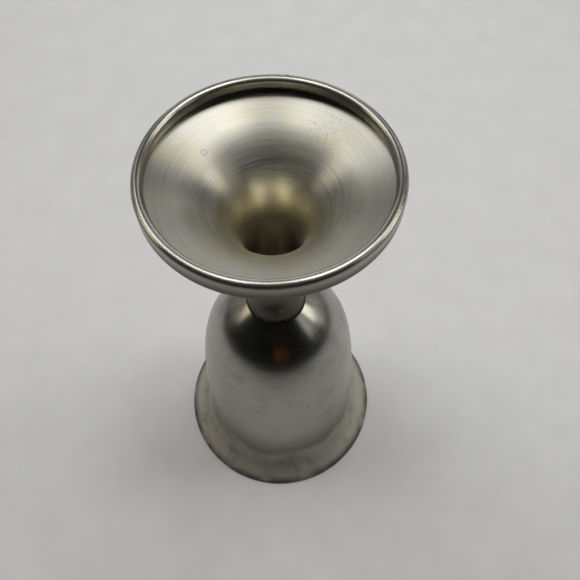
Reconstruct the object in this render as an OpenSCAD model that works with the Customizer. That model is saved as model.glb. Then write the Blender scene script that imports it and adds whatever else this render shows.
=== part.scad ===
// Bar jigger: a bell-shaped measuring cup that stands on its mouth, with a
// hollow trumpet-shaped stem soldered to its crown. Millimetres, +Z up.
// The origin is the centre of the mouth, in the plane that the lip rests on.

/* [Whole object] */
// Height from the plane of the mouth to the top of the trumpet's rim
total_h = 105; // [95:1:125]
// Outer radius of the bell's lip
mouth_r = 27; // [25.5:0.5:33]

/* [Bell] */
// Height of the crown above the plane of the mouth
crown_h = 64.5; // [58:0.5:72]
// Sheet thickness of the bell
bell_t = 0.8; // [0.5:0.05:1.2]
// How far the brim stands out past the foot of the wall
brim_reach = 6.25; // [5:0.25:9]
// Radius of the bend between the wall and the brim
flare_r = 7.5; // [4:0.5:9]
// Slope of the brim from level, in degrees
brim_slope = 34; // [25:1:45]
// Height of the plain upright edge of the lip
lip_edge_h = 0.35; // [0.2:0.05:0.6]
// Rounding of the lip's outer edge
lip_round = 0.2; // [0.1:0.05:0.3]
// Lean of the wall just above the brim, in degrees from upright
wall_lean = 2.7; // [0:0.1:6]
// Length of the wall's nearly straight pull before it turns into the shoulder
wall_pull = 41; // [30:1:44]
// Length of the shoulder's pull below the crown
shoulder_pull = 13.5; // [8:0.5:18]
// Width of the round crown left showing around the stem
crown_margin = 0.6; // [0.5:0.1:3]
// Slope of the crown at its edge, from level, in degrees
crown_slope = 36.6; // [30:0.5:45]

/* [Trumpet] */
// Sheet thickness of the trumpet
trumpet_t = 0.6; // [0.4:0.05:0.8]
// Outer radius of the rim
rim_r = 21.95; // [20:0.25:28]
// Outer radius of the stem
stem_r = 6.2; // [5.2:0.1:6.5]
// Radius of the sweep between the stem and the cone, on the hollow side
throat_sweep = 18.5; // [14:0.5:20]
// Slope of the cone from level, in degrees
cone_slope = 24; // [18:1:32]
// Depth from the top of the rim to the corner where the cone meets the rim wall
rim_depth = 3.5; // [3:0.1:5]
// Radius of the bead rolled along the top of the rim
bead_r = 0.92; // [0.7:0.02:1.2]
// Length of the hem that hangs inside the bead
hem_l = 1.05; // [0.5:0.05:1.5]
// Radius of the corner between the cone and the rim wall, at mid sheet
corner_r = 0.55; // [0.4:0.05:0.8]
// Rounding of the stem's lower outer edge
stem_round = 0.3; // [0.1:0.05:0.35]

/* [Joint] */
// Thickness of the pressed plug that closes the stem
plug_t = 0.6; // [0.4:0.05:0.8]
// Radial clearance between the plug and the stem
plug_fit = 0.02; // [0.01:0.01:0.1]
// Clearance between the plug's flat and the top of the crown
plug_rise = 0.4; // [0.2:0.1:2]
// Outer rounding of the plug's corner
plug_round = 0.9; // [0.85:0.05:1.5]
// Film left between two pieces that seat on each other
film = 0.01; // [0.01:0.01:0.05]
// Gap between the stem's bore and the inner edge of the solder
solder_inset = 0.15; // [0.1:0.05:0.3]
// How far the solder spreads over the crown past the stem
solder_spread = 0.3; // [0.2:0.05:0.4]
// How far the solder climbs the stem
solder_climb = 0.45; // [0.4:0.05:0.8]

/* [Hidden] */
// Steps along a bend, steps along a small rounding, and sides of a full turn
steps = 10;
round_steps = 6;
turn_fn = 128;
bell_grey = "#8d8f88";
trumpet_grey = "#9a9b93";
plug_grey = "#7d7e78";
solder_grey = "#4b4a44";

// Crown: a cap of a sphere whose centre lies on the axis
crown_r = stem_r + crown_margin;
cap_r = crown_r / sin(crown_slope);
cap_z = crown_h - cap_r;
crown_edge_z = cap_z + cap_r * cos(crown_slope);
function crown_z(r) = cap_z + sqrt(cap_r * cap_r - r * r);

// Brim and the bend above it
wall_foot_r = mouth_r - brim_reach;
brim_turn = 90 - brim_slope;
brim_top_r = wall_foot_r + flare_r * (cos(wall_lean) - cos(brim_turn));
brim_top_z = lip_edge_h + (mouth_r - brim_top_r) * tan(brim_slope);
wall_foot_z = brim_top_z + flare_r * (sin(brim_turn) - sin(wall_lean));
// Where the brim's under face comes down to the plane of the mouth
lip_in_r = mouth_r - bell_t / sin(brim_slope) + lip_edge_h / tan(brim_slope);

// Stem: its lower inner edge rests on the crown
bore_r = stem_r - trumpet_t;
stem_mid_r = stem_r - trumpet_t / 2;
stem_end_z = crown_z(bore_r) + film;
stem_foot_c = [stem_r - stem_round, stem_end_z + stem_round];

// Rim, cone and throat, along the middle of the sheet
rim_mid_r = rim_r - trumpet_t / 2;
bead_mid = bead_r - trumpet_t / 2;
bead_x = rim_r - bead_r;
bead_z = total_h - bead_r;
corner_z = total_h - rim_depth;
corner_cut = corner_r * tan((90 - cone_slope) / 2);
sweep_mid = throat_sweep - trumpet_t / 2;
sweep_turn = 90 - cone_slope;
cone_foot_r = stem_mid_r + sweep_mid * (1 - cos(sweep_turn));
cone_foot_z = corner_z - (rim_mid_r - cone_foot_r) * tan(cone_slope);
throat_z = cone_foot_z - sweep_mid * sin(sweep_turn);

// Plug: a shallow cap that stands on the crown inside the stem
plug_r = bore_r - plug_fit;
plug_top = crown_h + plug_rise + plug_t;
plug_foot = crown_z(plug_r - plug_t) + film;

// Points of an arc about c, from angle a to angle b, n steps
function arc(c, r, a, b, n) =
    [for (i = [0:n]) c + r * [cos(a + (b - a) * i / n), sin(a + (b - a) * i / n)]];

// Points of a cubic curve, without its first point
function cubic(p, q, r, s, n) =
    [for (i = [1:n]) let (t = i / n, u = 1 - t)
        u * u * u * p + 3 * u * u * t * q + 3 * u * t * t * r + t * t * t * s];

function unit(v) = v / norm(v);
function left(v) = [-v[1], v[0]];

// A path moved sideways by d, to the left of its direction
function beside(p, d) =
    [for (i = [0:len(p) - 1])
        let (a = i == 0 ? unit(p[1] - p[0]) : unit(p[i] - p[i - 1]),
             b = i == len(p) - 1 ? a : unit(p[i + 1] - p[i]),
             m = unit(left(a) + left(b)))
        p[i] + m * d / (m * left(a))];

function reversed(p) = [for (i = [len(p) - 1:-1:0]) p[i]];

// Outer face of the bell, from the top of the lip's edge up to the crown's edge
function bell_rise() =
    let (foot = [wall_foot_r, wall_foot_z],
         edge = [crown_r, crown_edge_z],
         bend = [wall_foot_r + flare_r * cos(wall_lean), wall_foot_z + flare_r * sin(wall_lean)])
    concat(
        [[mouth_r, lip_edge_h]],
        arc(bend, flare_r, 180 + brim_turn, 180 + wall_lean, steps),
        cubic(foot,
              foot + wall_pull * [-sin(wall_lean), cos(wall_lean)],
              edge + shoulder_pull * [cos(crown_slope), -sin(crown_slope)],
              edge, 4 * steps));

// Outer or inner face of the crown, from its edge to the axis
function crown_cap(r) =
    arc([0, cap_z], r, 90 - crown_slope, 90, steps);

function tail(p) = [for (i = [1:len(p) - 1]) p[i]];

module bell_cup() {
    outer = bell_rise();
    inner = beside(outer, bell_t);
    color(bell_grey)
    rotate_extrude($fn = turn_fn)
    polygon(concat(
        arc([mouth_r - lip_round, lip_round], lip_round, -90, 0, round_steps),
        outer,
        tail(crown_cap(cap_r)),
        reversed(tail(crown_cap(cap_r - bell_t))),
        reversed(tail(inner)),
        [[lip_in_r, 0]]));
}

// Middle of the trumpet's sheet, from the stem's end to the edge of the hem
function trumpet_path() = concat(
    [[stem_mid_r, stem_end_z + stem_round]],
    arc([stem_mid_r + sweep_mid, throat_z], sweep_mid, 180, 180 - sweep_turn, 3 * steps),
    arc([rim_mid_r - corner_r, corner_z + corner_cut], corner_r, cone_slope - 90, 0, steps),
    arc([bead_x, bead_z], bead_mid, 0, 180, 2 * steps),
    [[bead_x - bead_mid, bead_z - hem_l]]);

module trumpet_stem() {
    path = trumpet_path();
    color(trumpet_grey)
    rotate_extrude($fn = turn_fn)
    polygon(concat(
        arc(stem_foot_c, stem_round, -90, 0, round_steps),
        tail(beside(path, -trumpet_t / 2)),
        reversed(beside(path, trumpet_t / 2)),
        [[bore_r, stem_end_z]]));
}

module stem_plug() {
    round_c = [plug_r - plug_round, plug_top - plug_round];
    color(plug_grey)
    rotate_extrude($fn = turn_fn)
    polygon(concat(
        [[plug_r - plug_t, plug_foot], [plug_r, plug_foot]],
        arc(round_c, plug_round, 0, 90, round_steps),
        [[0, plug_top], [0, plug_top - plug_t]],
        arc(round_c, plug_round - plug_t, 90, 0, round_steps)));
}

module solder_ring() {
    in_r = bore_r + solder_inset;
    out_r = stem_r + solder_spread;
    toe = [out_r, crown_z(out_r) + film];
    top = [stem_r + film, stem_end_z + solder_climb];
    corner = [stem_r + film, crown_z(stem_r + film) + film];
    hollow = corner + [solder_spread / 4, solder_climb / 3];
    color(solder_grey)
    rotate_extrude($fn = turn_fn)
    polygon(concat(
        [[in_r, stem_end_z - film]],
        [for (i = [0:steps]) let (r = in_r + (out_r - in_r) * i / steps) [r, crown_z(r) + film]],
        cubic(toe, hollow, hollow, top, round_steps),
        reversed(arc(stem_foot_c, stem_round + film, -90, 0, round_steps))));
}

bell_cup();
trumpet_stem();
stem_plug();
solder_ring();
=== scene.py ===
"""Bar jigger of spun stainless steel: a bell cup on its mouth and a trumpet stem with a rolled rim."""
import math

import bpy
import numpy as np
from mathutils import Matrix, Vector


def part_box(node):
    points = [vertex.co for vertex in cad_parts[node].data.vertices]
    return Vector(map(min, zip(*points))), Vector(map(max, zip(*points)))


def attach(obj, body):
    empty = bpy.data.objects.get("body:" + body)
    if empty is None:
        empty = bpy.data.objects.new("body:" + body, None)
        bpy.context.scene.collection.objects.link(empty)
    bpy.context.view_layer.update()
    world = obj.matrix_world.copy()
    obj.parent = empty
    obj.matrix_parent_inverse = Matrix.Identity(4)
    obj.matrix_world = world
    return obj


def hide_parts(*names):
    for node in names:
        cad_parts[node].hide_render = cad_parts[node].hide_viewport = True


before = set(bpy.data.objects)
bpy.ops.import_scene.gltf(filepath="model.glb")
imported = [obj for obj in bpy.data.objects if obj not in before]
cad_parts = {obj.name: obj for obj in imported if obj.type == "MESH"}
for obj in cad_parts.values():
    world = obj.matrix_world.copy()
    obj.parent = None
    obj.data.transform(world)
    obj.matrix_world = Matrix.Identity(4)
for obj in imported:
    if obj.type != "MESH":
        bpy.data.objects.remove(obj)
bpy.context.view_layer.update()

bl_info = {
    "name": "Bar Jigger",
    "version": (1, 0, 0),
    "blender": (4, 5, 0),
    "location": "View3D > Sidebar > Jigger",
    "description": "Builds a spun steel bar jigger and the small stage that it stands on",
    "category": "Add Mesh",
}

MM = 0.001
BODY = "root"
TURNS = 288
BELL_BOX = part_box("bell_cup")
TRUMPET_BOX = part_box("trumpet_stem")
EASED = {"interpolation_type": "SMOOTHSTEP"}
COLOURS = {"data_type": "RGBA", "out": 2}


def size(name, about, default):
    """A length in metres, shown in the scene's own units."""
    return bpy.props.FloatProperty(
        name=name, description=about, default=default, min=0.0, precision=5, unit="LENGTH"
    )


def angle(name, about, degrees):
    """An angle, kept in radians and shown in degrees."""
    return bpy.props.FloatProperty(
        name=name, description=about, default=math.radians(degrees), subtype="ANGLE"
    )


def share(name, about, default):
    """A plain number from 0 to 1."""
    return bpy.props.FloatProperty(name=name, description=about, default=default, min=0.0, max=1.0)


def linear(code):
    """An sRGB colour such as #8d8f88 as linear red, green, blue and 1, by the sRGB curve."""
    parts = [int(code[i : i + 2], 16) / 255 for i in (1, 3, 5)]
    return (*[p / 12.92 if p <= 0.04045 else ((p + 0.055) / 1.055) ** 2.4 for p in parts], 1.0)


def colour(name, about, code):
    """A linear colour whose default is an sRGB hex value."""
    return bpy.props.FloatVectorProperty(
        name=name, description=about, default=linear(code)[:3], subtype="COLOR",
        size=3, min=0.0, max=1.0,
    )


class JiggerBell(bpy.types.PropertyGroup):
    """Sizes of the bell cup."""

    mouth_r: size("Mouth radius", "Outer radius of the lip", float(BELL_BOX[1][0]))
    crown_h: size("Crown height", "Height of the crown over the mouth", float(BELL_BOX[1][2]))
    sheet: size("Sheet", "Thickness of the bell's sheet", 0.8 * MM)
    brim_reach: size("Brim reach", "How far the brim stands past the wall", 6.25 * MM)
    flare_r: size("Flare", "Radius of the bend between wall and brim", 7.5 * MM)
    brim_slope: angle("Brim slope", "Slope of the brim from level", 34)
    lip_edge: size("Lip edge", "Height of the upright edge of the lip", 0.35 * MM)
    lip_round: size("Lip rounding", "Rounding of the lip's outer edge", 0.2 * MM)
    wall_lean: angle("Wall lean", "Lean of the wall above the brim", 2.7)
    wall_pull: size("Wall pull", "Length of the nearly straight pull of the wall", 41 * MM)
    shoulder_pull: size("Shoulder pull", "Length of the pull below the crown", 13.5 * MM)
    crown_r: size("Crown radius", "Radius at which the round crown begins", 6.8 * MM)
    crown_slope: angle("Crown slope", "Slope of the crown at its edge", 36.6)


class JiggerTrumpet(bpy.types.PropertyGroup):
    """Sizes of the trumpet and its stem."""

    total_h: size("Total height", "Height of the rim over the mouth", float(TRUMPET_BOX[1][2]))
    stem_end: size("Stem end", "Height of the stem's lower end", float(TRUMPET_BOX[0][2]))
    rim_r: size("Rim radius", "Outer radius of the rim", float(TRUMPET_BOX[1][0]))
    sheet: size("Sheet", "Thickness of the trumpet's sheet", 0.6 * MM)
    stem_r: size("Stem radius", "Outer radius of the stem", 6.2 * MM)
    stem_round: size("Stem rounding", "Rounding of the stem's lower edge", 0.3 * MM)
    throat_sweep: size("Throat sweep", "Radius of the sweep from stem to cone", 18.5 * MM)
    cone_slope: angle("Cone slope", "Slope of the cone from level", 24)
    rim_depth: size("Rim depth", "Depth from the rim's top to its corner", 3.5 * MM)
    bead_r: size("Bead radius", "Radius of the bead along the rim", 0.92 * MM)
    hem: size("Hem", "Length of the hem inside the bead", 1.05 * MM)
    corner_r: size("Corner", "Radius of the corner under the rim wall", 0.55 * MM)


class JiggerFinish(bpy.types.PropertyGroup):
    """Colours and roughness of the steel, its stains, its painted shade and the solder."""

    steel: colour("Steel", "Satin stainless steel of the bell", "#acaba3")
    spun: colour("Spun steel", "Spun stainless steel of the trumpet", "#bdbbb0")
    throat: colour("Throat tint", "Straw tint deep in the throat", "#e8e0c6")
    straw: colour("Straw tint", "Faint straw-coloured patches on the cone", "#b3aa84")
    brim: colour("Brim", "Brown-grey film on the bell's brim", "#c4c0b4")
    # This brown-grey also colours painted shade low on the trumpet's rim wall.
    stain_and_shade: colour("Stain", "Brown-grey water stains", "#5f5a50")
    # This brown also colours painted shade at the bottom of the trumpet's bore.
    speck_and_shade: colour("Specks", "Brown specks on the cone", "#4e4334")
    # This black also colours painted shade: along the bell's lip and under the trumpet's hem.
    grime_and_shade: colour("Grime", "Black grime in folds and joints", "#0e0b08")
    solder: colour("Solder", "Tarnished solder", "#55524b")
    bell_rough: share("Bell roughness", "Roughness of the satin bell", 0.3)
    bell_stretch: share("Bell stretch", "Stretch of highlights across the bell's lines", 0.25)
    cone_rough: share("Cone roughness", "Roughness of the spun trumpet", 0.36)
    cone_stretch: share("Cone stretch", "Stretch of highlights across the cone's lines", 0.7)


class JiggerStage(bpy.types.PropertyGroup):
    """Floor, lights and camera."""

    floor: colour("Floor", "Pale matt table top", "#eeeeed")
    floor_half: size("Floor half", "Half the floor's side", 3.0)
    reach: size("Reach", "Distance of the lights from the middle of the jigger", 0.55)
    middle: size("Middle", "Height that the lights point at", 0.07)
    lens: bpy.props.FloatProperty(name="Lens", description="Focal length in mm", default=36.06)


def arc(centre, radius, start, end, steps):
    """Points of an arc: centre plus radius times the cosine and sine of evenly spaced angles."""
    a = np.linspace(start, end, steps + 1)
    return np.array(centre) + radius * np.stack([np.cos(a), np.sin(a)], -1)


def cubic(p, q, r, s, steps):
    """Points of a cubic curve with control points p, q, r and s, without the first point."""
    t = np.linspace(0, 1, steps + 1)[1:, None]
    u = 1 - t
    return u**3 * p + 3 * u * u * t * q + 3 * u * t * t * r + t**3 * s


def beside(path, d):
    """The path moved by d to the left of its direction, mitred at each point."""
    step = np.diff(path, axis=0)
    step /= np.linalg.norm(step, axis=1)[:, None]
    left = np.stack([-step[:, 1], step[:, 0]], -1)
    a = np.concatenate([left[:1], left])
    b = np.concatenate([left, left[-1:]])
    m = a + b
    m /= np.linalg.norm(m, axis=1)[:, None]
    return path + m * (d / (m * a).sum(1))[:, None]


def dense(path, step):
    """The path with its long stretches cut into pieces of about step, by straight interpolation."""
    gap = np.linalg.norm(np.diff(path, axis=0), axis=1)
    count = np.maximum(1, np.ceil(gap / step).astype(int))
    along = np.concatenate([i + np.arange(n) / n for i, n in enumerate(count)] + [[len(gap)]])
    whole = np.arange(len(path))
    return np.stack([np.interp(along, whole, path[:, k]) for k in (0, 1)], -1)


def turned(name, profile, closed, start):
    """A surface of revolution about Z: each (radius, height) of the profile is carried round a full
    turn. An open profile starts and ends on the axis, where each end becomes one vertex. The UV map
    holds the turn from 0 to 1, and the millimetres along the profile from its point number start."""
    ring = profile if closed else profile[1:-1]
    rows, cols = len(ring), TURNS
    t = np.linspace(0, 2 * math.pi, cols, endpoint=False)
    r, z = ring[:, :1], ring[:, 1:]
    grid = np.stack([r * np.cos(t), r * np.sin(t), z + 0 * t], -1).reshape(-1, 3)
    jump = np.linalg.norm(np.diff(np.concatenate([profile, profile[:1]]), axis=0), axis=1)
    length = np.concatenate([[0.0], np.cumsum(jump)]) / MM
    length -= length[start]
    i = np.arange(rows if closed else rows - 1)[:, None]
    j = np.arange(cols)[None, :]
    up, on = (i + 1) % rows, (j + 1) % cols
    quads = np.stack([i * cols + j, i * cols + on, up * cols + on, up * cols + j], -1)
    quads = quads.reshape(-1, 4)
    first = 0 if closed else 1
    u = np.stack([j / cols, (j + 1) / cols, (j + 1) / cols, j / cols], -1) + 0 * i[..., None]
    v = np.stack([length[i + first]] * 2 + [length[i + first + 1]] * 2, -1) + 0 * j[..., None]
    uv = np.stack([u, v], -1).reshape(-1, 2)
    faces = quads.tolist()
    verts = grid
    if not closed:
        ends = np.array([[0, 0, profile[0, 1]], [0, 0, profile[-1, 1]]])
        verts = np.concatenate([grid, ends])
        low, high = rows * cols, rows * cols + 1
        j, on = j[0], on[0]
        last = (rows - 1) * cols
        faces += np.stack([np.full(cols, low), on, j], -1).tolist()
        faces += np.stack([np.full(cols, high), last + j, last + on], -1).tolist()
        mid = (j + 0.5) / cols
        near = [(mid, length[0]), ((j + 1) / cols, length[1]), (j / cols, length[1])]
        far = [(mid, length[rows + 1]), (j / cols, length[rows]), ((j + 1) / cols, length[rows])]
        for corner in (near, far):
            fan = np.stack([np.stack([a, b + 0 * a], -1) for a, b in corner], 1)
            uv = np.concatenate([uv, fan.reshape(-1, 2)])
    mesh = bpy.data.meshes.new(name)
    mesh.from_pydata(verts.tolist(), [], faces)
    layer = mesh.uv_layers.new(name="turn_and_length")
    layer.data.foreach_set("uv", uv.astype(np.float32).ravel())
    mesh.polygons.foreach_set("use_smooth", np.ones(len(faces), dtype=bool))
    mesh.update()
    piece = bpy.data.objects.new(name, mesh)
    bpy.context.scene.collection.objects.link(piece)
    return piece


def sheet_piece(name, outline, node, material):
    """Makes a turned piece, gives it its material, hangs it under the body and hides the CAD node that
    it stands in for.
    """
    piece = turned(name, *outline)
    piece.data.materials.append(material)
    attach(piece, BODY)
    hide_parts(node)
    return piece


def bell_profile(b):
    """Outline of the bell's sheet: from the axis down the inner face to the lip, round its flat edge,
    then up the outer face over the shoulder and crown back to the axis. The brim and its bend are a
    line and an arc, the wall is one cubic curve, and the crown is a sphere's cap. Lengths count from
    the lip's outer corner, so the outer face's are positive."""
    turn = math.pi / 2 - b.brim_slope
    foot_r = b.mouth_r - b.brim_reach
    top_r = foot_r + b.flare_r * (math.cos(b.wall_lean) - math.cos(turn))
    top_z = b.lip_edge + (b.mouth_r - top_r) * math.tan(b.brim_slope)
    foot_z = top_z + b.flare_r * (math.sin(turn) - math.sin(b.wall_lean))
    cap_r = b.crown_r / math.sin(b.crown_slope)
    cap_z = b.crown_h - cap_r
    foot = np.array([foot_r, foot_z])
    edge = np.array([b.crown_r, cap_z + cap_r * math.cos(b.crown_slope)])
    lean = np.array([-math.sin(b.wall_lean), math.cos(b.wall_lean)])
    fall = np.array([math.cos(b.crown_slope), -math.sin(b.crown_slope)])
    bend = foot + b.flare_r * np.array([math.cos(b.wall_lean), math.sin(b.wall_lean)])
    rise = np.concatenate([
        [[b.mouth_r, b.lip_edge]],
        arc(bend, b.flare_r, math.pi + turn, math.pi + b.wall_lean, 24),
        cubic(foot, foot + b.wall_pull * lean, edge + b.shoulder_pull * fall, edge, 64),
    ])
    cap = arc([0, cap_z], 1, math.pi / 2 - b.crown_slope, math.pi / 2, 14)[1:] - [0, cap_z]
    outer_cap = [0, cap_z] + cap * cap_r
    inner_cap = [0, cap_z] + cap * (cap_r - b.sheet)
    lip_in = b.mouth_r - b.sheet / math.sin(b.brim_slope) + b.lip_edge / math.tan(b.brim_slope)
    lip = arc([b.mouth_r - b.lip_round, b.lip_round], b.lip_round, -math.pi / 2, 0, 5)
    outer = np.concatenate([lip, dense(rise, MM), outer_cap])
    inner = np.concatenate([[[lip_in, 0]], dense(beside(rise, b.sheet)[1:], MM), inner_cap])
    outer[-1, 0] = inner[-1, 0] = 0
    return np.concatenate([inner[::-1], outer]), False, len(inner)


def trumpet_profile(t):
    """Outline of the trumpet's sheet: up its outer face from the stem's rounded end, along the cone's
    under side, up the rim wall, round the bead and down the hem, then back along the hollow side. It
    is one path of arcs and lines moved half a sheet to each side. Lengths count from the hem's edge,
    so the hollow side's are positive."""
    half = t.sheet / 2
    mid_r, rim_mid = t.stem_r - half, t.rim_r - half
    bead_mid, bead = t.bead_r - half, [t.rim_r - t.bead_r, t.total_h - t.bead_r]
    corner_z = t.total_h - t.rim_depth
    cut = t.corner_r * math.tan((math.pi / 2 - t.cone_slope) / 2)
    sweep, turn = t.throat_sweep - half, math.pi / 2 - t.cone_slope
    foot_r = mid_r + sweep * (1 - math.cos(turn))
    foot_z = corner_z - (rim_mid - foot_r) * math.tan(t.cone_slope)
    throat_z = foot_z - sweep * math.sin(turn)
    path = np.concatenate([
        [[mid_r, t.stem_end + t.stem_round]],
        arc([mid_r + sweep, throat_z], sweep, math.pi, math.pi - turn, 44),
        arc([rim_mid - t.corner_r, corner_z + cut], t.corner_r, t.cone_slope - math.pi / 2, 0, 12),
        arc(bead, bead_mid, 0, math.pi, 24),
        [[bead[0] - bead_mid, bead[1] - t.hem]],
    ])
    path = dense(path, 0.5 * MM)
    foot_c = [t.stem_r - t.stem_round, t.stem_end + t.stem_round]
    outer = np.concatenate([arc(foot_c, t.stem_round, -math.pi / 2, 0, 6), beside(path, -half)[1:]])
    inner = beside(path, half)
    bore = [[t.stem_r - t.sheet, t.stem_end]]
    return np.concatenate([outer, inner[::-1], bore]), True, len(outer)


def add(tree, kind, *values, at=(), out=0, **settings):
    """Adds one shader node, sets its properties, fills or joins its inputs, and returns one output."""
    made = tree.nodes.new("ShaderNode" + kind)
    for key, value in settings.items():
        setattr(made, key, value)
    for key, value in (*enumerate(values), *dict(at).items()):
        if isinstance(value, bpy.types.NodeSocket):
            tree.links.new(value, made.inputs[key])
        else:
            made.inputs[key].default_value = value
    return made.outputs[out]


def blank(name):
    """A new node material, its tree and its Principled shader."""
    material = bpy.data.materials.new(name)
    material.use_nodes = True
    return material, material.node_tree, material.node_tree.nodes["Principled BSDF"]


def join(tree, shader, sockets):
    """Joins finished sockets to the shader's inputs."""
    for key, socket in sockets.items():
        tree.links.new(socket, shader.inputs[key])


def opaque(value):
    """A stored linear colour with its fourth number."""
    return (*value, 1.0)


def object_place(tree):
    """A surface point's place on the piece, its height, its radius and its level direction."""
    place = add(tree, "TexCoord", out="Object")
    height = add(tree, "SeparateXYZ", place, out=2)
    level = add(tree, "VectorMath", place, (1, 1, 0), operation="MULTIPLY")
    radius = add(tree, "VectorMath", level, out=1, operation="LENGTH")
    return place, height, radius, add(tree, "VectorMath", level, operation="NORMALIZE")


def along_sheet(tree):
    """Millimetres along the sheet's outline, from the lip's outer corner or the hem's edge."""
    return add(tree, "SeparateXYZ", add(tree, "UVMap", uv_map="turn_and_length"), out=1)


def lathe_lines(tree, way, length, wander, pitch):
    """Lines left by turning, from 0 to 1. They hold nearly steady round the axis: wander is how much
    a line changes in a turn, and pitch is its width in millimetres along the sheet."""
    swing = add(tree, "VectorMath", way, at={"Scale": wander}, operation="SCALE")
    x, y = (add(tree, "SeparateXYZ", swing, out=k) for k in (0, 1))
    place = add(tree, "CombineXYZ", x, y, add(tree, "Math", length, pitch, operation="DIVIDE"))
    return add(tree, "TexNoise", place, at={"Scale": 1.0, "Detail": 3.0, "Roughness": 0.7})


def faded_lines(tree, lines, radius):
    """Lathe lines that show fully in the throat and are nearly worn away towards the rim."""
    kept = add(tree, "MapRange", radius, 8 * MM, 15 * MM, 1.0, 0.35, **EASED)
    swing = add(tree, "Math", lines, 0.5, operation="SUBTRACT")
    return add(tree, "Math", swing, kept, 0.5, operation="MULTIPLY_ADD")


def blotches(tree, place, width, low, high):
    """Soft uneven patches about width millimetres across, where a cloud passes from low to high."""
    grain = {"Scale": 1 / (width * MM), "Detail": 5.0, "Roughness": 0.62}
    return add(tree, "MapRange", add(tree, "TexNoise", place, at=grain), low, high, **EASED)


def round_mark(tree, place, centre, radius, soft):
    """1 within radius of a point of the surface, fading to 0 over soft, all in millimetres."""
    spot = tuple(c * MM for c in centre)
    far = add(tree, "VectorMath", place, spot, out=1, operation="DISTANCE")
    return add(tree, "MapRange", far, (radius + soft) * MM, radius * MM, **EASED)


def turned_steel(name, tint, stretch, lines_of, depth):
    """Stainless steel worked on a lathe. It is metallic, and its fine lines round the axis stretch
    every highlight across them, so a lamp shows as a streak along the sheet's outline. depth is how
    much darker a line is than the sheet."""
    material, tree, shader = blank(name)
    lines = lines_of(tree)
    dark = tuple((1 - depth) * c for c in tint)
    contrast = add(tree, "MapRange", lines, 0.36, 0.64, **EASED)
    base = add(tree, "Mix", contrast, at={6: opaque(dark), 7: opaque(tint)}, **COLOURS)
    shader.inputs["Metallic"].default_value = 1.0
    shader.inputs["Anisotropic"].default_value = stretch
    shader.inputs["Anisotropic Rotation"].default_value = 0.25
    join(tree, shader, {"Tangent": add(tree, "Tangent", direction_type="RADIAL", axis="Z")})
    return material, tree, shader, base, lines


def satin_bell_steel(finish):
    """Satin-brushed stainless steel, buffed a little smoother towards the crown. It has a wavering
    water line and blotches low on the wall, a duller brown-grey film on the brim, painted shade
    along the lip, grime in the joint round the stem, and one pit in the wall."""
    fine = 0.45  # width of the satin's lines, drawn coarser than the real 0.1 mm so that they show
    pit_at = (6.4, -17.3, 40.2)
    material, tree, shader, base, lines = turned_steel(
        "satin_stainless_steel", finish.steel, finish.bell_stretch,
        lambda tree: lathe_lines(tree, object_place(tree)[3], along_sheet(tree), 2.2, fine), 0.1,
    )
    place, height, radius = object_place(tree)[:3]
    waver = add(tree, "TexNoise", place, at={"Scale": 110.0, "Detail": 4.0, "Roughness": 0.6})
    level = add(tree, "Math", waver, 16 * MM, 0.5 * MM, operation="MULTIPLY_ADD")
    over = add(tree, "Math", height, level, 0.0, operation="SUBTRACT")
    film = add(tree, "MapRange", over, 3 * MM, -4 * MM, **EASED)
    base = add(tree, "Mix", film, at={6: base, 7: opaque(finish.brim)}, **COLOURS)
    off_line = add(tree, "Math", over, operation="ABSOLUTE")
    line = add(tree, "MapRange", off_line, 2.6 * MM, 0.2 * MM, 0.0, 0.2, **EASED)
    low = add(tree, "MapRange", height, 17 * MM, 7 * MM, **EASED)
    cloud = add(tree, "Math", blotches(tree, place, 4.5, 0.46, 0.68), low, operation="MULTIPLY")
    smear = add(tree, "Math", blotches(tree, place, 6.0, 0.47, 0.72), 0.28, operation="MULTIPLY")
    stained = add(tree, "Math", cloud, 0.22, line, operation="MULTIPLY_ADD")
    stained = add(tree, "Math", stained, smear, operation="ADD", use_clamp=True)
    base = add(tree, "Mix", stained, at={6: base, 7: opaque(finish.stain_and_shade)}, **COLOURS)
    # Painted shade: the lowest 1.7 mm of the lip darken towards the table, broken up by blotches, for
    # the contact shadow and the dark reflection along the lip's edge.
    lip = add(tree, "MapRange", height, 1.7 * MM, 0.5 * MM, **EASED)
    lip = add(tree, "Math", lip, blotches(tree, place, 8.0, 0.3, 0.6), operation="MULTIPLY")
    collar = add(tree, "MapRange", radius, 6.62 * MM, 6.45 * MM, **EASED)
    pit = round_mark(tree, place, pit_at, 0.12, 0.35)
    shade_and_marks = add(tree, "Math", lip, collar, operation="MAXIMUM")
    shade_and_marks = add(tree, "Math", shade_and_marks, pit, operation="MAXIMUM")
    shade_and_marks = add(tree, "Math", shade_and_marks, 0.65, operation="MULTIPLY")
    base = add(tree, "Mix", shade_and_marks, at={6: base, 7: opaque(finish.grime_and_shade)}, **COLOURS)
    buffed = add(tree, "MapRange", height, 46 * MM, 57 * MM, 0.0, -0.07, **EASED)
    rough = add(tree, "Math", lines, 0.14, finish.bell_rough - 0.07, operation="MULTIPLY_ADD")
    rough = add(tree, "Math", rough, buffed, operation="ADD")
    rough = add(tree, "Math", film, 0.4, rough, operation="MULTIPLY_ADD")
    rough = add(tree, "Math", stained, 0.12, rough, operation="MULTIPLY_ADD")
    bump = add(tree, "Bump", at={"Strength": 0.06, "Distance": 0.03 * MM, "Height": lines})
    join(tree, shader, {"Base Color": base, "Roughness": rough, "Normal": bump})
    return material


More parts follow.
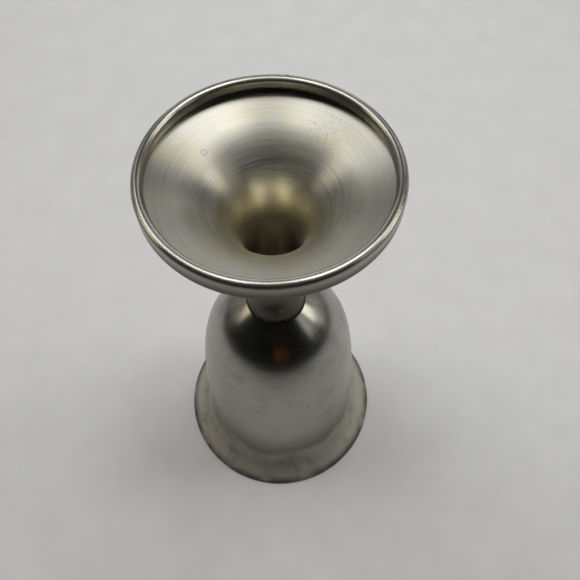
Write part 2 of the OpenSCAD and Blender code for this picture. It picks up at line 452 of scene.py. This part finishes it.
def spun_trumpet_steel(finish):
    """Spun stainless steel: lines round the axis that fade towards the rim, faint straw patches, a
    straw tint that deepens down the throat, painted shade that darkens the bottom of the bore, and
    painted black shade under the hem. The outside is darker on the stem and has painted shade low
    on the rim wall, with one smear on the stem's foot. The bead is worn smoother. A few brown
    specks, one ring mark, a pit and a nick lie where wear left them."""
    fine = 0.3  # width of the spun lines, drawn coarser than the real 0.1 mm so that they show
    rim_wall, hem_top = -4.4, 4.9  # millimetres along the sheet from the hem's edge
    bead_middle = 2.1  # millimetres from the hem's edge back to the middle of the bead
    smear_at = (-0.6, -6.2, 68.5)
    specks_at = (10.5, 13.0, 99.8)
    ring_at = (-11.3, 9.6, 98.8)
    pit_at = (10.6, -16.1, 100.9)
    nick_at = (3.9, 21.0, 104.9)
    material, tree, shader, base, lines = turned_steel(
        "spun_stainless_steel", finish.spun, finish.cone_stretch,
        lambda tree: faded_lines(
            tree, lathe_lines(tree, object_place(tree)[3], along_sheet(tree), 1.3, fine),
            object_place(tree)[2]),
        0.28,
    )
    place, height, radius = object_place(tree)[:3]
    length = along_sheet(tree)
    hollow = add(tree, "Math", length, 0.0, operation="GREATER_THAN")
    patch = add(tree, "Math", blotches(tree, place, 7.0, 0.42, 0.66), hollow, operation="MULTIPLY")
    patch = add(tree, "Math", patch, 0.3, operation="MULTIPLY")
    base = add(tree, "Mix", patch, at={6: base, 7: opaque(finish.straw)}, **COLOURS)
    deep = add(tree, "MapRange", radius, 11 * MM, 5.8 * MM, **EASED)
    deep = add(tree, "Math", deep, hollow, operation="MULTIPLY")
    base = add(tree, "Mix", deep, at={6: base, 7: opaque(finish.throat)}, **COLOURS)
    outside = add(tree, "Math", 1.0, hollow, operation="SUBTRACT")
    # The stem is a little darker. Painted shade: the rim wall darkens towards its lower edge, which
    # faces down into shade.
    stem = add(tree, "MapRange", radius, 9 * MM, 7 * MM, 0.0, 0.1, **EASED)
    skirt = add(tree, "MapRange", length, rim_wall, rim_wall - 2.2, 0.0, 0.9, **EASED)
    stem_dark_and_rim_shade = add(tree, "Math", stem, skirt, operation="MAXIMUM")
    stem_dark_and_rim_shade = add(tree, "Math", stem_dark_and_rim_shade, outside, operation="MULTIPLY")
    base = add(tree, "Mix", stem_dark_and_rim_shade, at={6: base, 7: opaque(finish.stain_and_shade)}, **COLOURS)
    smear = round_mark(tree, place, smear_at, 1.0, 3.2)
    smear = add(tree, "Math", blotches(tree, place, 2.5, 0.3, 0.55), smear, operation="MULTIPLY")
    smear = add(tree, "Math", smear, 0.7, operation="MULTIPLY")
    smear = add(tree, "Math", smear, outside, operation="MULTIPLY")
    base = add(tree, "Mix", smear, at={6: base, 7: opaque(finish.grime_and_shade)}, **COLOURS)
    # Painted shade: the hollow side darkens from 84 mm down to 74 mm, at the bottom of the bore.
    bore_shade = add(tree, "MapRange", height, 84 * MM, 74 * MM, 0.0, 0.65, **EASED)
    bore_shade = add(tree, "Math", bore_shade, hollow, operation="MULTIPLY")
    base = add(tree, "Mix", bore_shade, at={6: base, 7: opaque(finish.speck_and_shade)}, **COLOURS)
    sector = round_mark(tree, place, specks_at, 1.5, 5.5)
    specks = add(tree, "Math", blotches(tree, place, 0.42, 0.54, 0.68), sector, operation="MULTIPLY")
    specks = add(tree, "Math", specks, 0.5, operation="MULTIPLY")
    base = add(tree, "Mix", specks, at={6: base, 7: opaque(finish.speck_and_shade)}, **COLOURS)
    wide = round_mark(tree, place, ring_at, 0.55, 0.25)
    middle = round_mark(tree, place, ring_at, 0.2, 0.25)
    ring = add(tree, "Math", wide, middle, operation="SUBTRACT")
    ring = add(tree, "Math", ring, 0.3, operation="MULTIPLY")
    base = add(tree, "Mix", ring, at={6: base, 7: opaque(finish.stain_and_shade)}, **COLOURS)
    # Painted shade: the hollow side under the hem is made black and not metallic, for the shade in the
    # recess under the bead.
    under = add(tree, "MapRange", length, hem_top, hem_top - 0.6, **EASED)
    hem_shade = add(tree, "Math", under, hollow, operation="MULTIPLY")
    pit = round_mark(tree, place, pit_at, 0.25, 0.4)
    nick = round_mark(tree, place, nick_at, 0.15, 0.3)
    shade_and_marks = add(tree, "Math", pit, nick, operation="MAXIMUM")
    shade_and_marks = add(tree, "Math", shade_and_marks, 0.85, operation="MULTIPLY")
    shade_and_marks = add(tree, "Math", shade_and_marks, hem_shade, operation="MAXIMUM")
    base = add(tree, "Mix", shade_and_marks, at={6: base, 7: opaque(finish.grime_and_shade)}, **COLOURS)
    metal = add(tree, "Math", 1.0, hem_shade, operation="SUBTRACT")
    off_bead = add(tree, "Math", length, bead_middle, operation="ADD")
    off_bead = add(tree, "Math", off_bead, operation="ABSOLUTE")
    bead = add(tree, "MapRange", off_bead, 2.6, 1.9, **EASED)
    rough = add(tree, "Math", lines, 0.16, finish.cone_rough - 0.08, operation="MULTIPLY_ADD")
    rough = add(tree, "Math", bead, -0.09, rough, operation="MULTIPLY_ADD")
    rough = add(tree, "Math", deep, -0.04, rough, operation="MULTIPLY_ADD")
    rough = add(tree, "Math", shade_and_marks, 0.3, rough, operation="MULTIPLY_ADD")
    bump = add(tree, "Bump", at={"Strength": 0.3, "Distance": 0.03 * MM, "Height": lines})
    join(tree, shader, {"Base Color": base, "Metallic": metal, "Roughness": rough, "Normal": bump})
    return material


def pressed_plug_steel(finish):
    """Pressed stainless sheet that no brush reaches: dull grey, blotched brown-black."""
    material, tree, shader = blank("pressed_stainless_steel")
    place = object_place(tree)[0]
    film = blotches(tree, place, 2.0, 0.35, 0.65)
    base = add(tree, "Mix", film, at={6: opaque(finish.steel), 7: opaque(finish.speck_and_shade)}, **COLOURS)
    shader.inputs["Metallic"].default_value = 1.0
    rough = add(tree, "Math", film, 0.2, 0.45, operation="MULTIPLY_ADD")
    join(tree, shader, {"Base Color": base, "Roughness": rough})
    return material


def tarnished_solder(finish):
    """Silver solder gone dull: dark grey, uneven and fairly rough."""
    material, tree, shader = blank("tarnished_silver_solder")
    grain = blotches(tree, object_place(tree)[0], 1.1, 0.3, 0.7)
    base = add(tree, "Mix", grain, at={6: opaque(finish.grime_and_shade), 7: opaque(finish.solder)}, **COLOURS)
    shader.inputs["Metallic"].default_value = 1.0
    rough = add(tree, "Math", grain, 0.3, 0.4, operation="MULTIPLY_ADD")
    join(tree, shader, {"Base Color": base, "Roughness": rough})
    return material


def pale_table(stage):
    """Matt laminate: a pale even top with a very slight mottle."""
    material, tree, shader = blank("matt_pale_laminate")
    place = object_place(tree)[0]
    mottle = blotches(tree, place, 14.0, 0.2, 0.8)
    dark = tuple(0.93 * c for c in stage.floor)
    base = add(tree, "Mix", mottle, at={6: opaque(dark), 7: opaque(stage.floor)}, **COLOURS)
    join(tree, shader, {"Base Color": base})
    shader.inputs["Roughness"].default_value = 0.6
    return material


def matt_cloth(name, code):
    """Matt cloth: stands for the dark clothes and hands that the crown mirrors from in front of it."""
    material, _, shader = blank(name)
    shader.inputs["Base Color"].default_value = linear(code)
    shader.inputs["Roughness"].default_value = 0.9
    return material


def camera_frame():
    """The camera's place and its right, up and backward directions. It stands in front of the jigger
    and looks steeply down at it, 60 degrees from level, turned 3 degrees to the right."""
    place = np.array([0.0, -62.24, 174.63]) * MM
    heading, dip, roll = 0.0499, 1.0509, -0.005  # radians
    ahead = np.array([math.sin(heading) * math.cos(dip), math.cos(heading) * math.cos(dip),
                      -math.sin(dip)])
    right = np.array([math.cos(heading), -math.sin(heading), 0.0])
    up = np.cross(right, ahead)
    right, up = (right * math.cos(roll) + up * math.sin(roll),
                 up * math.cos(roll) - right * math.sin(roll))
    return place, right, up, -ahead


def card(name, centre, right, up, width, height, material):
    """A flat card, given by its centre, its two directions and its size."""
    r, u = np.array(right) * width / 2, np.array(up) * height / 2
    corners = np.array(centre) + np.array([-r - u, r - u, r + u, -r + u])
    mesh = bpy.data.meshes.new(name)
    mesh.from_pydata(corners.tolist(), [], [(0, 1, 2, 3)])
    mesh.materials.append(material)
    made = bpy.data.objects.new(name, mesh)
    bpy.context.scene.collection.objects.link(made)
    return made


def panel(name, heading, height, width, tall, strength, tint="#ffffff"):
    """A soft rectangular light that faces the jigger, out of the camera's sight. Its place is given by
    a heading from +Y towards +X and a height over level, in degrees, its sides in metres and its
    brightness as a multiple of a white card in full light."""
    stage = bpy.context.scene.jigger_stage
    h, e = math.radians(heading), math.radians(height)
    back = np.array([math.sin(h) * math.cos(e), math.cos(h) * math.cos(e), math.sin(e)])
    side = np.array([-math.cos(h), math.sin(h), 0.0])
    light = bpy.data.lights.new(name, "AREA")
    light.shape = "RECTANGLE"
    light.size, light.size_y, light.color = width, tall, linear(tint)[:3]
    light.energy = math.pi * width * tall * strength
    matrix = np.eye(4)
    matrix[:3, :3] = np.stack([side, np.cross(back, side), back], 1)
    matrix[:3, 3] = stage.reach * back + [0, 0, stage.middle]
    lamp = bpy.data.objects.new(name, light)
    lamp.matrix_world = Matrix(matrix.tolist())
    lamp.visible_camera = False
    bpy.context.scene.collection.objects.link(lamp)
    return lamp


def room_lights():
    """Soft panels for the room's lamps and windows and for the pale walls that the steel mirrors."""
    # Overhead, for the streaks in the cone and the throat
    panel("top_light", 0, 86, 0.28, 0.12, 3.2)
    panel("near_top", 180, 75, 0.3, 0.08, 0.42)
    panel("top_right", 60, 72, 0.2, 0.2, 4.4)
    panel("top_left", 300, 72, 0.2, 0.2, 3.4)
    # Windows and walls at the right and the left, for the bright flanks of the bell
    panel("right_high", 68, 52, 0.24, 0.16, 2.1)
    panel("right_window", 86, 26, 0.2, 0.18, 2.75, "#fffaf0")
    panel("right_low", 78, 9, 0.3, 0.12, 0.5)
    panel("left_high", 305, 52, 0.28, 0.16, 2.5)
    panel("left_window", 280, 26, 0.2, 0.16, 1.65, "#fff2d8")
    panel("left_low", 286, 9, 0.2, 0.12, 0.15)
    panel("right_back", 112, 26, 0.14, 0.2, 0.67)
    # The far side of the room, dim and broad
    panel("far_left", 330, 36, 0.22, 0.24, 0.42)
    panel("far_right", 36, 40, 0.22, 0.26, 0.12)
    panel("left_corner", 308, 10, 0.26, 0.24, 0.27)
    panel("right_corner", 52, 10, 0.26, 0.24, 0.31)
    panel("far_low", 0, 14, 0.5, 0.22, 1.05)
    panel("far_middle", 20, 36, 0.4, 0.14, 0.82)


def dark_cards(place, right, up, back):
    """Cards for the camera, a sleeve, the arms and the body in front of the jigger, which it mirrors."""
    black, brown = matt_cloth("black_cloth", "#0c0b0a"), matt_cloth("brown_cloth", "#9a5a2e")
    return (
        card("camera_card", place + 0.006 * back - 0.03 * up, right, up, 0.085, 0.15, black),
        card("sleeve_card", (0.01, -0.2, 0.135), (1, 0, 0), (0, 0.6, 0.8), 0.07, 0.07, brown),
        card("arms_card", (0, -0.24, 0.21), (1, 0, 0), (0, 0.94, 0.34), 0.34, 0.26, black),
        card("body_card", (0, -0.3, 0.2), (1, 0, 0), (0, 0.3, 0.95), 0.4, 0.3, black),
    )


class JIGGER_OT_bell(bpy.types.Operator):
    """Make the bell cup"""

    bl_idname = "jigger.bell"
    bl_label = "Bell Cup"

    def execute(self, context):
        scene = context.scene
        material = satin_bell_steel(scene.jigger_finish)
        outline = bell_profile(scene.jigger_bell)
        sheet_piece("bell_shell", outline, "bell_cup", material)
        return {"FINISHED"}


class JIGGER_OT_trumpet(bpy.types.Operator):
    """Make the trumpet, its stem and its rolled rim"""

    bl_idname = "jigger.trumpet"
    bl_label = "Trumpet"

    def execute(self, context):
        scene = context.scene
        material = spun_trumpet_steel(scene.jigger_finish)
        outline = trumpet_profile(scene.jigger_trumpet)
        sheet_piece("trumpet_shell", outline, "trumpet_stem", material)
        return {"FINISHED"}


class JIGGER_OT_joint(bpy.types.Operator):
    """Give the solder and the stem's plug their finish"""

    bl_idname = "jigger.joint"
    bl_label = "Solder and Plug"

    def execute(self, context):
        finish = context.scene.jigger_finish
        finishes = {"solder_ring": tarnished_solder(finish), "stem_plug": pressed_plug_steel(finish)}
        for node, material in finishes.items():
            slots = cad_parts[node].data.materials
            slots.clear()
            slots.append(material)
        return {"FINISHED"}


class JIGGER_OT_stage(bpy.types.Operator):
    """Make the floor, the lights, the dark cards and the camera"""

    bl_idname = "jigger.stage"
    bl_label = "Stage"

    def execute(self, context):
        scene = context.scene
        stage = scene.jigger_stage
        half = stage.floor_half
        top = -0.2 * MM  # a hair under the lip, so that the two faces don't meet
        card("table", (0, 0, top), (1, 0, 0), (0, 1, 0), 2 * half, 2 * half, pale_table(stage))
        place, right, up, back = camera_frame()
        matrix = np.eye(4)
        matrix[:3, :3], matrix[:3, 3] = np.stack([right, up, back], 1), place
        camera = bpy.data.cameras.new("camera")
        camera.sensor_width = 36.0
        camera.lens = stage.lens
        camera.clip_start = 5 * MM
        view = bpy.data.objects.new("camera", camera)
        view.matrix_world = Matrix(matrix.tolist())
        scene.collection.objects.link(view)
        scene.camera = view
        scene.view_settings.view_transform = "Standard"
        world = bpy.data.worlds.new("even_light")
        world.use_nodes = True
        sky = world.node_tree.nodes["Background"].inputs
        sky["Color"].default_value = (0.9, 0.91, 0.92, 1)
        sky["Strength"].default_value = 0.01
        scene.world = world
        room_lights()
        for dark in dark_cards(place, right, up, back):
            dark.visible_camera = False
        return {"FINISHED"}


class JIGGER_PT_panel(bpy.types.Panel):
    """Lists the steps that build the jigger"""

    bl_idname = "JIGGER_PT_panel"
    bl_label = "Bar Jigger"
    bl_space_type = "VIEW_3D"
    bl_region_type = "UI"
    bl_category = "Jigger"

    def draw(self, context):
        for step in OPERATORS:
            self.layout.operator(step.bl_idname)


GROUPS = {
    "jigger_bell": JiggerBell,
    "jigger_trumpet": JiggerTrumpet,
    "jigger_finish": JiggerFinish,
    "jigger_stage": JiggerStage,
}
OPERATORS = (JIGGER_OT_stage, JIGGER_OT_bell, JIGGER_OT_trumpet, JIGGER_OT_joint)


def register():
    for kind in (*GROUPS.values(), *OPERATORS, JIGGER_PT_panel):
        bpy.utils.register_class(kind)
    for name, kind in GROUPS.items():
        setattr(bpy.types.Scene, name, bpy.props.PointerProperty(type=kind))


def unregister():
    for name in GROUPS:
        delattr(bpy.types.Scene, name)
    for kind in reversed((*GROUPS.values(), *OPERATORS, JIGGER_PT_panel)):
        bpy.utils.unregister_class(kind)


def main():
    register()
    bpy.ops.jigger.stage()
    bpy.ops.jigger.bell()
    bpy.ops.jigger.trumpet()
    bpy.ops.jigger.joint()


if __name__ == "__main__":
    main()
